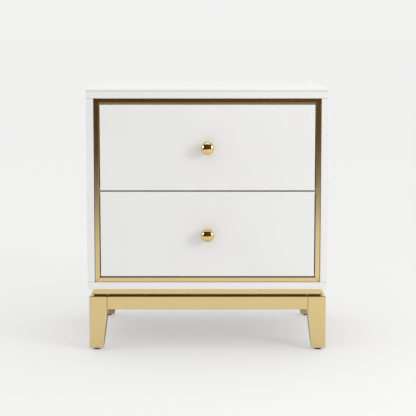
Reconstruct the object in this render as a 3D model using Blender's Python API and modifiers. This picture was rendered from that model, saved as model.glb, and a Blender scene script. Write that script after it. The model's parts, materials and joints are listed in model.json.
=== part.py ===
"""Two-drawer nightstand: a white lacquered case with a mitred gold trim on a gold metal base.

Metres, +Z up. The drawers open towards -Y and +X is to the right when facing them. The origin is on
the floor, under the middle of the box round the whole nightstand, knobs included.
"""

import math

import bmesh
import bpy
from mathutils import Matrix, Vector

MM = 0.001

# Overall sizes
CASE_WIDTH = 508 * MM
CASE_DEPTH = 406 * MM
TOTAL_HEIGHT = 558 * MM
JOINT_GAP = 0.3 * MM  # left between two pieces that touch
EDGE = 0.6 * MM  # eased edge of the boards

# Case
BOARD = 15 * MM
TOP_SLAB = 4.7 * MM
CASE_BOTTOM_Z = 133 * MM
BACK_THICKNESS = 6 * MM
BACK_INSET = 3 * MM
RAIL_THICKNESS = 18 * MM
RAIL_DEPTH = 60 * MM

# Front trim
TRIM_FACE = 10 * MM
TRIM_DEPTH = 30 * MM
TRIM_BEVEL = 0.8 * MM
LIP_REACH = 7 * MM  # how far the trim's lip stands into the opening, behind the drawer front
LIP_THICKNESS = 2 * MM
LIP_PLAY = 1 * MM  # closed drawer front to lip
DIVIDER_STRIP_HEIGHT = 14 * MM

# Drawers
REVEAL = 3 * MM  # visible gap round each drawer front
FRONT_THICKNESS = 12 * MM
BOX_WALL = 12 * MM
BOX_LIFT = 22 * MM  # box bottom above the bottom of its front
BOX_DROP = 33.5 * MM  # box rim below the top of its front
BOX_REAR_CLEARANCE = 44.7 * MM  # closed drawer box to back panel
BOTTOM_THICKNESS = 6 * MM
BOTTOM_LIFT = 8 * MM  # drawer bottom above the box's lower edge
GROOVE_DEPTH = 6 * MM

# Slides
SLIDE_THICKNESS = 12.7 * MM
SLIDE_REAR_CLEARANCE = 15 * MM  # slide to back panel
SLIDE_LIFT = 45 * MM  # slide centre line above the box's lower edge
SLIDE_SHEET = 1.2 * MM
SLIDE_SIDE_GAP = 0.3 * MM
SLIDE_FRONT_GAP = 2 * MM  # slide to the back of the trim
SLIDE_TRIM_GAP = 0.75 * MM  # how far the slides stand inside the trim's opening
CABINET_HALF_HEIGHT = 22.7 * MM
MIDDLE_HALF_HEIGHT = 17.4 * MM
DRAWER_HALF_HEIGHT = 12.1 * MM
PACKER_HEIGHT = 60 * MM

# Knobs
KNOB_DIAMETER = 28.5 * MM
KNOB_STEM_DIAMETER = 11 * MM
KNOB_ROSETTE_DIAMETER = 17 * MM
KNOB_ROSETTE_THICKNESS = 1.6 * MM
KNOB_CENTRE_OUT = 20.5 * MM  # centre of the ball in front of the drawer front
KNOB_BORE_DEPTH = 14 * MM
SCREW_DIAMETER = 4 * MM
SCREW_CLEARANCE = 0.3 * MM
SCREW_HEAD_DIAMETER = 9 * MM
SCREW_HEAD_THICKNESS = 2.4 * MM
SCREW_BITE = 9 * MM  # screw length inside the knob

# Base
BASE_SIDE_INSET = 2 * MM
BASE_FRONT_INSET = 2 * MM
BASE_REAR_INSET = 29 * MM  # clears a skirting board
BASE_TOP_Z = 117 * MM
BASE_BEVEL = 1.2 * MM
LEG_WIDTH = 38 * MM
LEG_FOOT_WIDTH = 30 * MM
LEG_TAPER_Z = 72 * MM
LEG_BOTTOM_Z = 4.5 * MM
LEG_WALL = 2 * MM
LEG_FOOT_WALL = 5 * MM
TUBE_HEIGHT = 28.3 * MM
TUBE_DEPTH = 25 * MM
TUBE_WALL = 1.5 * MM
PLINTH_SETBACK = 14 * MM
PLINTH_SIDE_SETBACK = 9.5 * MM
PLINTH_THICKNESS = 16 * MM
PLINTH_CORNER = 3 * MM
GLIDE_DIAMETER = 14.5 * MM
GLIDE_STEM_DIAMETER = 7.6 * MM
GLIDE_STEM_LENGTH = 14 * MM
GLIDE_CLEARANCE = 0.3 * MM

TURNING_STEPS = 32
BALL_STEPS = 14
SMALL_TURNING_STEPS = 20

# Places worked out from the sizes above
KNOB_PROJECTION = KNOB_CENTRE_OUT + KNOB_DIAMETER / 2
FACE_Y = (KNOB_PROJECTION - CASE_DEPTH) / 2  # plane of the drawer fronts and of the case's front edges
HALF_CASE = CASE_WIDTH / 2
HALF_INSIDE = HALF_CASE - BOARD
CASE_TOP_Z = TOTAL_HEIGHT - TOP_SLAB - JOINT_GAP
OPENING_BOTTOM_Z = CASE_BOTTOM_Z + BOARD
OPENING_TOP_Z = CASE_TOP_Z - BOARD
HALF_OPENING = HALF_INSIDE - TRIM_FACE
FRONT_WIDTH = 2 * (HALF_OPENING - REVEAL)
FRONT_HEIGHT = (OPENING_TOP_Z - OPENING_BOTTOM_Z - 2 * TRIM_FACE - 3 * REVEAL) / 2
LOWER_FRONT_Z = OPENING_BOTTOM_Z + TRIM_FACE + REVEAL
UPPER_FRONT_Z = LOWER_FRONT_Z + FRONT_HEIGHT + REVEAL
DIVIDER_Z = UPPER_FRONT_Z - REVEAL / 2
BACK_START = CASE_DEPTH - BACK_INSET - BACK_THICKNESS
LIP_Y = FRONT_THICKNESS + LIP_PLAY
BOX_START = FRONT_THICKNESS + JOINT_GAP
BOX_HEIGHT = FRONT_HEIGHT - BOX_LIFT - BOX_DROP
BOX_DEPTH = BACK_START - BOX_REAR_CLEARANCE - BOX_START
SLIDE_START = TRIM_DEPTH + SLIDE_FRONT_GAP
SLIDE_LENGTH = BACK_START - SLIDE_REAR_CLEARANCE - SLIDE_START
HALF_SLIDE_OUTER = HALF_OPENING - SLIDE_TRIM_GAP
HALF_BOX = HALF_SLIDE_OUTER - SLIDE_THICKNESS - 2 * SLIDE_SIDE_GAP
BASE_HALF_WIDTH = HALF_CASE - BASE_SIDE_INSET
BASE_BACK = CASE_DEPTH - BASE_REAR_INSET
PLINTH_HALF_WIDTH = BASE_HALF_WIDTH - PLINTH_SIDE_SETBACK


def clear_scene():
    for obj in list(bpy.data.objects):
        bpy.data.objects.remove(obj, do_unlink=True)
    for collection in list(bpy.data.collections):
        bpy.data.collections.remove(collection)


def make_collection(name):
    collection = bpy.data.collections.new(name)
    bpy.context.scene.collection.children.link(collection)
    return collection


def make_material(name, colour, roughness, metallic):
    material = bpy.data.materials.new(name)
    material.use_nodes = True
    shader = material.node_tree.nodes["Principled BSDF"]
    shader.inputs["Base Color"].default_value = (*colour, 1.0)
    shader.inputs["Roughness"].default_value = roughness
    shader.inputs["Metallic"].default_value = metallic
    return material


def make_materials():
    return {
        "lacquer": make_material("white_lacquer", (0.80, 0.80, 0.79), 0.35, 0.0),
        "gold": make_material("brushed_gold_plate", (0.72, 0.53, 0.24), 0.22, 1.0),
        "brass": make_material("polished_brass", (0.80, 0.60, 0.28), 0.08, 1.0),
        "board": make_material("raw_fibreboard", (0.48, 0.36, 0.24), 0.8, 0.0),
        "birch": make_material("birch_plywood", (0.74, 0.60, 0.42), 0.5, 0.0),
        "zinc": make_material("zinc_plated_steel", (0.62, 0.63, 0.65), 0.3, 1.0),
        "nylon": make_material("brown_nylon", (0.05, 0.035, 0.02), 0.5, 0.0),
    }


def link(obj, material, parent=None):
    """Gives the object its material and collection, and keeps its place when it gets a parent."""
    obj.data.materials.append(material)
    PARTS.objects.link(obj)
    if parent:
        obj.parent = parent
        obj.location -= parent.location
    return obj


def add_bevel(obj, width, segments=1):
    bevel = obj.modifiers.new("eased_edges", "BEVEL")
    bevel.width = width
    bevel.segments = segments
    bevel.limit_method = "ANGLE"
    bevel.angle_limit = math.radians(30)


def box_mesh(name, size):
    mesh = bpy.data.meshes.new(name)
    shape = bmesh.new()
    bmesh.ops.create_cube(shape, size=1, matrix=Matrix.Diagonal(size).to_4x4())
    shape.to_mesh(mesh)
    shape.free()
    return mesh


def spread(low, high):
    """Middle and size of a box given by its low and high corners, with Y as depth behind the front face."""
    low, high = Vector(low), Vector(high)
    middle = (low + high) / 2 + Vector((0, FACE_Y, 0))
    return middle, high - low


def block(name, low, high, material, edge=EDGE, parent=None):
    """A box from its low and high corners, with Y as depth behind the front face."""
    middle, size = spread(low, high)
    obj = bpy.data.objects.new(name, box_mesh(name, size))
    obj.location = middle
    if edge:
        add_bevel(obj, edge)
    return link(obj, material, parent)


def outline_mesh(name, outlines, length):
    """A flat outline in local X and Y, with any holes in it, extruded along local Z and made a mesh."""
    curve = bpy.data.curves.new(name, "CURVE")
    curve.dimensions = "2D"
    curve.fill_mode = "BOTH"
    curve.extrude = length / 2
    for points in outlines:
        spline = curve.splines.new("POLY")
        spline.points.add(len(points) - 1)
        for point, (x, y) in zip(spline.points, points):
            point.co = (x, y, 0, 1)
        spline.use_cyclic_u = True
    guide = bpy.data.objects.new(name, curve)
    bpy.context.scene.collection.objects.link(guide)
    graph = bpy.context.evaluated_depsgraph_get()
    mesh = bpy.data.meshes.new_from_object(guide.evaluated_get(graph))
    bpy.data.objects.remove(guide)
    bpy.data.curves.remove(curve)
    shape = bmesh.new()
    shape.from_mesh(mesh)
    bmesh.ops.remove_doubles(shape, verts=shape.verts, dist=0.01 * MM)
    bmesh.ops.recalc_face_normals(shape, faces=shape.faces)
    shape.to_mesh(mesh)
    shape.free()
    mesh.name = name
    return mesh


def turned(name, profile, steps):
    """A turned piece about local Z. The profile runs down its outer side from the top, as (radius, height)."""
    mesh = bpy.data.meshes.new(name)
    shape = bmesh.new()
    verts = [shape.verts.new((radius, 0, height)) for radius, height in profile]
    for first, second in zip(verts, verts[1:]):
        shape.edges.new((first, second))
    shape.to_mesh(mesh)
    shape.free()
    obj = bpy.data.objects.new(name, mesh)
    screw = obj.modifiers.new("turning", "SCREW")
    screw.steps = steps
    screw.render_steps = steps
    screw.use_merge_vertices = True
    screw.merge_threshold = 0.01 * MM
    screw.use_smooth_shade = True
    return obj


def cutter_cylinder(name, radius, length, centre, axis="Z"):
    mesh = bpy.data.meshes.new(name)
    shape = bmesh.new()
    bmesh.ops.create_cone(
        shape, cap_ends=True, segments=SMALL_TURNING_STEPS, radius1=radius, radius2=radius, depth=length
    )
    if axis == "Y":
        bmesh.ops.rotate(shape, verts=shape.verts, matrix=Matrix.Rotation(math.radians(90), 3, "X"))
    shape.to_mesh(mesh)
    shape.free()
    return hide_cutter(bpy.data.objects.new(name, mesh), centre)


def hide_cutter(obj, centre):
    obj.location = centre
    obj.hide_render = True
    obj.display_type = "WIRE"
    CUTTERS.objects.link(obj)
    return obj


def cut(obj, cutter):
    """Takes the cutter's shape out of the object, before its edges are eased."""
    boolean = obj.modifiers.new("cut_" + cutter.name, "BOOLEAN")
    boolean.operation = "DIFFERENCE"
    boolean.solver = "EXACT"
    boolean.object = cutter
    obj.modifiers.move(len(obj.modifiers) - 1, 0)


def empty_at(name, location):
    empty = bpy.data.objects.new(name, None)
    empty.empty_display_size = 0.05
    empty.location = location
    PARTS.objects.link(empty)
    return empty


def build_case(lacquer, board):
    inside = HALF_INSIDE - JOINT_GAP
    low, high = OPENING_BOTTOM_Z + JOINT_GAP, OPENING_TOP_Z - JOINT_GAP
    block("bottom_panel", (-HALF_CASE, 0, CASE_BOTTOM_Z), (HALF_CASE, CASE_DEPTH, OPENING_BOTTOM_Z), lacquer)
    block("carcass_top", (-HALF_CASE, 0, OPENING_TOP_Z), (HALF_CASE, CASE_DEPTH, CASE_TOP_Z), lacquer)
    top_low = (-HALF_CASE, 0, TOTAL_HEIGHT - TOP_SLAB)
    block("top_slab", top_low, (HALF_CASE, CASE_DEPTH, TOTAL_HEIGHT), lacquer, edge=1 * MM)
    block("side_panel_left", (-HALF_CASE, 0, low), (-HALF_INSIDE, CASE_DEPTH, high), lacquer)
    block("side_panel_right", (HALF_INSIDE, 0, low), (HALF_CASE, CASE_DEPTH, high), lacquer)
    back = CASE_DEPTH - BACK_INSET
    block("back_panel", (-inside, BACK_START, low), (inside, back, high), lacquer, edge=0)
    rail_low = (-inside, TRIM_DEPTH + JOINT_GAP, DIVIDER_Z - RAIL_THICKNESS / 2)
    rail_high = (inside, TRIM_DEPTH + JOINT_GAP + RAIL_DEPTH, DIVIDER_Z + RAIL_THICKNESS / 2)
    block("divider_rail", rail_low, rail_high, board)


def mitred_bar(name, length, outline, centre, turn, material):
    """A trim bar: its outline is (distance in from the outer face, depth), cut at 45 degrees at both ends."""
    mesh = outline_mesh(name, [outline], length)
    shape = bmesh.new()
    shape.from_mesh(mesh)
    for side in (1, -1):
        corner = Vector((0, 0, side * (length / 2 - JOINT_GAP / 2)))
        bmesh.ops.bisect_plane(
            shape,
            geom=shape.verts[:] + shape.edges[:] + shape.faces[:],
            plane_co=corner,
            plane_no=Vector((1, 0, side)),
            clear_outer=True,
        )
        loose = [edge for edge in shape.edges if edge.is_boundary]
        bmesh.ops.holes_fill(shape, edges=loose, sides=0)
    bmesh.ops.recalc_face_normals(shape, faces=shape.faces)
    shape.to_mesh(mesh)
    shape.free()
    obj = bpy.data.objects.new(name, mesh)
    obj.location = centre
    obj.rotation_euler = Matrix.Rotation(turn, 3, "Y").to_euler()
    add_bevel(obj, TRIM_BEVEL)
    return link(obj, material)


def build_trim(gold):
    """Four mitred bars. The bars above and below have a lip behind the drawer fronts; the side bars are plain."""
    back = TRIM_DEPTH
    side_outline = [(0, 0), (TRIM_FACE, 0), (TRIM_FACE, back), (0, back)]
    lip_end = TRIM_FACE + LIP_REACH
    lip_outline = [
        (0, 0),
        (TRIM_FACE, 0),
        (TRIM_FACE, LIP_Y),
        (lip_end, LIP_Y),
        (lip_end, LIP_Y + LIP_THICKNESS),
        (TRIM_FACE, LIP_Y + LIP_THICKNESS),
        (TRIM_FACE, back),
        (0, back),
    ]
    half_width = HALF_INSIDE - JOINT_GAP
    low, high = OPENING_BOTTOM_Z + JOINT_GAP, OPENING_TOP_Z - JOINT_GAP
    middle = (low + high) / 2
    width, height = 2 * half_width, high - low
    quarter = math.pi / 2
    mitred_bar("trim_left", height, side_outline, (-half_width, FACE_Y, middle), 0, gold)
    mitred_bar("trim_right", height, side_outline, (half_width, FACE_Y, middle), 2 * quarter, gold)
    mitred_bar("trim_top", width, lip_outline, (0, FACE_Y, high), quarter, gold)
    mitred_bar("trim_bottom", width, lip_outline, (0, FACE_Y, low), -quarter, gold)
    strip_half = HALF_OPENING - JOINT_GAP
    strip_low = (-strip_half, LIP_Y, DIVIDER_Z - DIVIDER_STRIP_HEIGHT / 2)
    strip_high = (strip_half, TRIM_DEPTH, DIVIDER_Z + DIVIDER_STRIP_HEIGHT / 2)
    block("divider_strip", strip_low, strip_high, gold, edge=0.4 * MM)


def build_leg(name, side_x, back, gold):
    """A hollow leg, open below through the hole for the glide. Its two inner faces taper towards the foot."""
    outer_x = side_x * BASE_HALF_WIDTH
    outer_y = BASE_BACK if back else BASE_FRONT_INSET
    inward_x = -side_x
    inward_y = -1 if back else 1
    corner = Vector((outer_x, FACE_Y + outer_y, 0))

    def tapered(label, wall, foot_wall, top_wall):
        """The leg's shape, made smaller by the walls given."""
        shape = bmesh.new()
        levels = [
            (LEG_BOTTOM_Z + foot_wall, LEG_FOOT_WIDTH),
            (LEG_TAPER_Z, LEG_WIDTH),
            (BASE_TOP_Z - top_wall, LEG_WIDTH),
        ]
        bmesh.ops.create_cube(shape, size=1)
        upright = [edge for edge in shape.edges if abs(edge.verts[0].co.z - edge.verts[1].co.z) > 0.5]
        bmesh.ops.subdivide_edges(shape, edges=upright, cuts=1)
        for vert in shape.verts:
            z, width = levels[round(vert.co.z * 2) + 1]
            reach_x = wall if vert.co.x * inward_x < 0 else width - wall
            reach_y = wall if vert.co.y * inward_y < 0 else width - wall
            vert.co = (inward_x * reach_x, inward_y * reach_y, z)
        bmesh.ops.recalc_face_normals(shape, faces=shape.faces)
        mesh = bpy.data.meshes.new(label)
        shape.to_mesh(mesh)
        shape.free()
        return mesh

    leg = bpy.data.objects.new(name, tapered(name, 0, 0, 0))
    leg.location = corner
    add_bevel(leg, BASE_BEVEL)
    cavity = bpy.data.objects.new(name + "_cavity", tapered(name + "_cavity", LEG_WALL, LEG_FOOT_WALL, LEG_WALL))
    cut(leg, hide_cutter(cavity, corner))
    foot = corner + Vector((inward_x * LEG_FOOT_WIDTH / 2, inward_y * LEG_FOOT_WIDTH / 2, LEG_BOTTOM_Z))
    radius = GLIDE_STEM_DIAMETER / 2 + GLIDE_CLEARANCE
    cut(leg, cutter_cylinder(name + "_stem_hole", radius, 4 * LEG_FOOT_WALL, foot))
    link(leg, gold)
    return foot


def glide_profile():
    rim = 0.5 * MM
    pad_top = LEG_BOTTOM_Z - JOINT_GAP
    stem, pad = GLIDE_STEM_DIAMETER / 2, GLIDE_DIAMETER / 2
    return [
        (0, pad_top + GLIDE_STEM_LENGTH),
        (stem, pad_top + GLIDE_STEM_LENGTH),
        (stem, pad_top),
        (pad, pad_top),
        (pad, rim),
        (pad - rim, 0),
        (0, 0),
    ]


def tube(name, low, high, along, gold):
    """A rectangular tube between two corners, open at both ends, running along X or Y."""
    middle, size = spread(low, high)
    length = size.x if along == "X" else size.y
    across = size.y if along == "X" else size.x
    outlines = []
    for wall in (0, TUBE_WALL):
        half_up, half_across = size.z / 2 - wall, across / 2 - wall
        outlines.append(
            [(-half_up, -half_across), (half_up, -half_across), (half_up, half_across), (-half_up, half_across)]
        )
    obj = bpy.data.objects.new(name, outline_mesh(name, outlines, length))
    obj.location = middle
    # Local Z runs along the tube and local X up.
    up = Vector((0, 0, 1))
    run = Vector((1, 0, 0)) if along == "X" else Vector((0, 1, 0))
    obj.rotation_euler = Matrix((up, run.cross(up), run)).transposed().to_euler()
    return link(obj, gold)


def plinth_bar(name, low, high, gold, rounded):
    """A bar of the riser under the case. The front and rear bars have rounded upright corners."""
    middle, size = spread(low, high)
    mesh = box_mesh(name, size)
    if rounded:
        shape = bmesh.new()
        shape.from_mesh(mesh)
        corners = [
            edge
            for edge in shape.edges
            if abs(edge.verts[0].co.z - edge.verts[1].co.z) > size.z / 2 and edge.verts[0].co.y * rounded > 0
        ]
        bmesh.ops.bevel(shape, geom=corners, offset=PLINTH_CORNER, segments=4, profile=0.5, affect="EDGES")
        shape.to_mesh(mesh)
        shape.free()
    obj = bpy.data.objects.new(name, mesh)
    obj.location = middle
    return link(obj, gold)


def build_base(gold, nylon):
    for side_x, side in ((-1, "left"), (1, "right")):
        for back, end in ((False, "front"), (True, "rear")):
            foot = build_leg(f"leg_{end}_{side}", side_x, back, gold)
            glide = turned(f"glide_{end}_{side}", glide_profile(), SMALL_TURNING_STEPS)
            glide.location = (foot.x, foot.y, 0)
            link(glide, nylon)
    rail_low_z = BASE_TOP_Z - TUBE_HEIGHT
    half_rail = BASE_HALF_WIDTH - LEG_WIDTH - JOINT_GAP
    near = BASE_FRONT_INSET
    tube("base_rail_front", (-half_rail, near, rail_low_z), (half_rail, near + TUBE_DEPTH, BASE_TOP_Z), "X", gold)
    far = BASE_BACK
    tube("base_rail_rear", (-half_rail, far - TUBE_DEPTH, rail_low_z), (half_rail, far, BASE_TOP_Z), "X", gold)
    start, end = near + LEG_WIDTH + JOINT_GAP, far - LEG_WIDTH - JOINT_GAP
    inner = BASE_HALF_WIDTH - TUBE_DEPTH
    tube("base_rail_left", (-BASE_HALF_WIDTH, start, rail_low_z), (-inner, end, BASE_TOP_Z), "Y", gold)
    tube("base_rail_right", (inner, start, rail_low_z), (BASE_HALF_WIDTH, end, BASE_TOP_Z), "Y", gold)
    build_plinth(gold)


def build_plinth(gold):
    low_z, high_z = BASE_TOP_Z + JOINT_GAP, CASE_BOTTOM_Z - JOINT_GAP
    wide, thick = PLINTH_HALF_WIDTH, PLINTH_THICKNESS
    near, far = BASE_FRONT_INSET + PLINTH_SETBACK, BASE_BACK - PLINTH_SETBACK
    plinth_bar("plinth_front", (-wide, near, low_z), (wide, near + thick, high_z), gold, -1)
    plinth_bar("plinth_rear", (-wide, far - thick, low_z), (wide, far, high_z), gold, 1)
    start, end = near + thick + JOINT_GAP, far - thick - JOINT_GAP
    plinth_bar("plinth_left", (-wide, start, low_z), (thick - wide, end, high_z), gold, 0)
    plinth_bar("plinth_right", (wide - thick, start, low_z), (wide, end, high_z), gold, 0)


def channel_outline(web_x, open_x, half_height):
    """A C-shaped section: (distance from the middle of the nightstand, height), web at web_x, flanges to open_x."""
    inward = SLIDE_SHEET if open_x > web_x else -SLIDE_SHEET
    inner = half_height - SLIDE_SHEET
    return [
        (web_x, -half_height),
        (open_x, -half_height),
        (open_x, -inner),
        (web_x + inward, -inner),
        (web_x + inward, inner),
        (open_x, inner),
        (open_x, half_height),
        (web_x, half_height),
    ]


def slide_member(name, side_x, web_x, open_x, half_height, height, zinc, parent=None):
    """One rolled channel of a telescopic slide, running front to back beside the drawer."""
    outline = [(side_x * x, z) for x, z in channel_outline(web_x, open_x, half_height)]
    obj = bpy.data.objects.new(name, outline_mesh(name, [outline], SLIDE_LENGTH))
    obj.location = (0, FACE_Y + SLIDE_START + SLIDE_LENGTH / 2, height)
    obj.rotation_euler = (math.radians(90), 0, 0)
    return link(obj, zinc, parent)


def build_slides(prefix, height, drawer, runners, zinc, board):
    """Cabinet, middle and drawer members on both sides, and the packer that carries them."""
    outer = HALF_SLIDE_OUTER
    inner = HALF_BOX + SLIDE_SIDE_GAP
    play = SLIDE_SIDE_GAP + SLIDE_SHEET
    for side_x, side in ((-1, "left"), (1, "right")):
        reach = SLIDE_THICKNESS - 3 * play
        cabinet = f"{prefix}_cabinet_member_{side}"
        slide_member(cabinet, side_x, outer, outer - reach, CABINET_HALF_HEIGHT, height, zinc)
        middle_web = outer - play
        name = f"{prefix}_middle_member_{side}"
        slide_member(name, side_x, middle_web, middle_web - reach, MIDDLE_HALF_HEIGHT, height, zinc, runners)
        name = f"{prefix}_drawer_member_{side}"
        slide_member(name, side_x, inner, inner + reach, DRAWER_HALF_HEIGHT, height, zinc, drawer)
        low = (outer + JOINT_GAP, SLIDE_START, height - PACKER_HEIGHT / 2)
        high = (HALF_INSIDE - JOINT_GAP, SLIDE_START + SLIDE_LENGTH, height + PACKER_HEIGHT / 2)
        if side_x < 0:
            low, high = (-high[0], low[1], low[2]), (-low[0], high[1], high[2])
        block(f"{prefix}_packer_{side}", low, high, board, edge=0)


def side_outline(side_x, box_z):
    """Section of a drawer side in X and Z, with the groove that holds the drawer bottom."""
    outer, inner = HALF_BOX, HALF_BOX - BOX_WALL
    groove = inner + GROOVE_DEPTH
    low = BOTTOM_LIFT
    high = low + BOTTOM_THICKNESS + 2 * JOINT_GAP
    points = [
        (outer, 0),
        (outer, BOX_HEIGHT),
        (inner, BOX_HEIGHT),
        (inner, high),
        (groove, high),
        (groove, low),
        (inner, low),
        (inner, 0),
    ]
    return [(side_x * x, z + box_z) for x, z in points]


def build_drawer_box(prefix, box_z, drawer, birch):
    start, end = BOX_START, BOX_START + BOX_DEPTH
    for side_x, side in ((-1, "left"), (1, "right")):
        name = f"{prefix}_box_side_{side}"
        mesh = outline_mesh(name, [side_outline(side_x, 0)], BOX_DEPTH)
        obj = bpy.data.objects.new(name, mesh)
        obj.location = (0, FACE_Y + (start + end) / 2, box_z)
        obj.rotation_euler = (math.radians(90), 0, 0)
        link(obj, birch, drawer)
    half = HALF_BOX - BOX_WALL - JOINT_GAP
    top = box_z + BOX_HEIGHT
    bottom_z = box_z + BOTTOM_LIFT + JOINT_GAP
    above_bottom = bottom_z + BOTTOM_THICKNESS + JOINT_GAP
    front = block(
        f"{prefix}_box_front", (-half, start, above_bottom), (half, start + BOX_WALL, top), birch, 0, drawer
    )
    back_low = (-half, end - BOX_WALL, above_bottom)
    block(f"{prefix}_box_back", back_low, (half, end, top), birch, 0, drawer)
    tongue = half + GROOVE_DEPTH - JOINT_GAP
    bottom_high = (tongue, end, bottom_z + BOTTOM_THICKNESS)
    block(f"{prefix}_box_bottom", (-tongue, start, bottom_z), bottom_high, birch, 0, drawer)
    return front


def knob_profile():
    """Ball, stem and rosette, from the top of the ball down to the threaded bore at the back."""
    ball, stem = KNOB_DIAMETER / 2, KNOB_STEM_DIAMETER / 2
    end = math.pi - math.asin(stem / ball)
    points = [(0, KNOB_CENTRE_OUT + ball)]
    for step in range(1, BALL_STEPS + 1):
        angle = end * step / BALL_STEPS
        points.append((ball * math.sin(angle), KNOB_CENTRE_OUT + ball * math.cos(angle)))
    rosette = KNOB_ROSETTE_DIAMETER / 2
    bore = SCREW_DIAMETER / 2 + SCREW_CLEARANCE
    points += [
        (stem, KNOB_ROSETTE_THICKNESS),
        (rosette, KNOB_ROSETTE_THICKNESS),
        (rosette, JOINT_GAP),
        (bore, JOINT_GAP),
        (bore, KNOB_BORE_DEPTH),
        (0, KNOB_BORE_DEPTH),
    ]
    return points


def screw_profile():
    """A pan-head screw with its tip up, measured from the drawer front's face."""
    shank, head = SCREW_DIAMETER / 2, SCREW_HEAD_DIAMETER / 2
    seat = -(BOX_START + BOX_WALL + JOINT_GAP)
    return [
        (0, SCREW_BITE),
        (shank, SCREW_BITE),
        (shank, seat),
        (head, seat),
        (head, seat - SCREW_HEAD_THICKNESS / 2),
        (head * 0.6, seat - SCREW_HEAD_THICKNESS),
        (0, seat - SCREW_HEAD_THICKNESS),
    ]


def build_drawer(prefix, front_z, materials):
    """One drawer with its front, box, knob and slides. Everything that moves hangs on its empty."""
    lacquer, brass, zinc = materials["lacquer"], materials["brass"], materials["zinc"]
    box_z = front_z + BOX_LIFT
    slide_z = box_z + SLIDE_LIFT
    drawer = empty_at(f"{prefix}_drawer", Vector((0, FACE_Y, slide_z)))
    runners = empty_at(f"{prefix}_runners", Vector((0, FACE_Y + SLIDE_START, slide_z)))
    half = FRONT_WIDTH / 2
    front_high = (half, FRONT_THICKNESS, front_z + FRONT_HEIGHT)
    front = block(f"{prefix}_drawer_front", (-half, 0, front_z), front_high, lacquer, EDGE, drawer)
    box_front = build_drawer_box(prefix, box_z, drawer, materials["birch"])
    knob_place = Vector((0, FACE_Y, front_z + FRONT_HEIGHT / 2))
    hole_radius = SCREW_DIAMETER / 2 + SCREW_CLEARANCE
    hole_length = 4 * (FRONT_THICKNESS + BOX_WALL)
    hole = cutter_cylinder(f"{prefix}_knob_hole", hole_radius, hole_length, knob_place, "Y")
    cut(front, hole)
    cut(box_front, hole)
    pieces = (
        (f"{prefix}_knob", knob_profile(), TURNING_STEPS, brass),
        (f"{prefix}_knob_screw", screw_profile(), SMALL_TURNING_STEPS, zinc),
    )
    for name, profile, steps, material in pieces:
        obj = turned(name, profile, steps)
        obj.location = knob_place
        obj.rotation_euler = (math.radians(90), 0, 0)
        link(obj, material, drawer)
    build_slides(prefix, slide_z, drawer, runners, zinc, materials["board"])


clear_scene()
PARTS = make_collection("nightstand")
CUTTERS = make_collection("nightstand_cutters")
MATERIALS = make_materials()
build_case(MATERIALS["lacquer"], MATERIALS["board"])
build_trim(MATERIALS["gold"])
build_base(MATERIALS["gold"], MATERIALS["nylon"])
build_drawer("upper", UPPER_FRONT_Z, MATERIALS)
build_drawer("lower", LOWER_FRONT_Z, MATERIALS)
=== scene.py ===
"""Finished surfaces of the two-drawer nightstand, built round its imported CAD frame.

Metres, +Z up. The drawers open towards -Y. Places come from the frame's own nodes. The sizes below are
details of a finished surface: an edge radius, a joint, a screw, a grain.
"""

import json
import math

import bmesh
import bpy
from mathutils import Matrix, Vector


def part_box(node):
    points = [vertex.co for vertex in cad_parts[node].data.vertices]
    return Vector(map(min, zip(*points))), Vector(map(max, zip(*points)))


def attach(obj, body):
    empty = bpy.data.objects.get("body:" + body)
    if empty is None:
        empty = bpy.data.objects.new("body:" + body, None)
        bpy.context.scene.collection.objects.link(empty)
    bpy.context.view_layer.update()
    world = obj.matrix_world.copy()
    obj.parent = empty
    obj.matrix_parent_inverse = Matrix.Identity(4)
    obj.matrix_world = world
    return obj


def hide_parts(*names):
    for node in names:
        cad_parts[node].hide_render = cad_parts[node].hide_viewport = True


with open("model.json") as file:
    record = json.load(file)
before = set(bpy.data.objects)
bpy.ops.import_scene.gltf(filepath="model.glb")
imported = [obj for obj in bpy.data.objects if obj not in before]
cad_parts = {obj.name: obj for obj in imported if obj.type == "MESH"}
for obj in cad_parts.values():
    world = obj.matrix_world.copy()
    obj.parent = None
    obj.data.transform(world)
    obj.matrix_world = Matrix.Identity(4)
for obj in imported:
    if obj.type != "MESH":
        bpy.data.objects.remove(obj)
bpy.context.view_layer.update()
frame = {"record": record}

MM = 0.001
SIDES = ((-1, "left"), (1, "right"))
DRAWERS = ("upper", "lower")

# Folds sharper than this are rounded, or stay sharp in the shading
FOLD = math.radians(20)
CREASE = math.radians(40)

# The gap that the frame leaves between neighbours
CAD_GAP = 0.3 * MM

# Edges
BOARD_EDGE = 0.8 * MM
SLAB_EDGE = 1.1 * MM
FRONT_EDGE = 0.6 * MM
TRIM_OUTER_EDGE = 0.7 * MM
TRIM_INNER_EDGE = 1.2 * MM
BASE_EDGE = 1.3 * MM
FOOT_EDGE = 3.0 * MM
PLINTH_EDGE = 0.6 * MM
WOOD_EDGE = 0.9 * MM
SAWN_EDGE = 0.4 * MM

# Mitred trim, with a lip on its top and bottom bars
TRIM_FACE = 10 * MM
TRIM_MITRE_GAP = 0.42 * MM
LIP_FRONT = 13 * MM
LIP_BACK = 15 * MM
LIP_EDGE = 0.5 * MM

# Legs and glides
LEG_TAPER_Z = 72 * MM
LEG_FOOT = 30 * MM
GLIDE_RIM = 0.7 * MM
GLIDE_SHOULDER = 0.4 * MM
GLIDE_STEM = 3.8 * MM
GLIDE_TIP = 3.0 * MM
GLIDE_TIP_HEIGHT = 1.5 * MM

# Dovetailed drawer boxes
PIN_COUNT = 4
PIN_HALF_HEIGHT = 4.6 * MM
PIN_FLARE = 2.0 * MM
GLUE_LINE = 0.12 * MM
CUTTER_OVERRUN = 8 * GLUE_LINE
PIN_ROOT = 1 * MM
PIN_SINK = 0.05 * MM
PLY = 1.4 * MM

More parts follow.
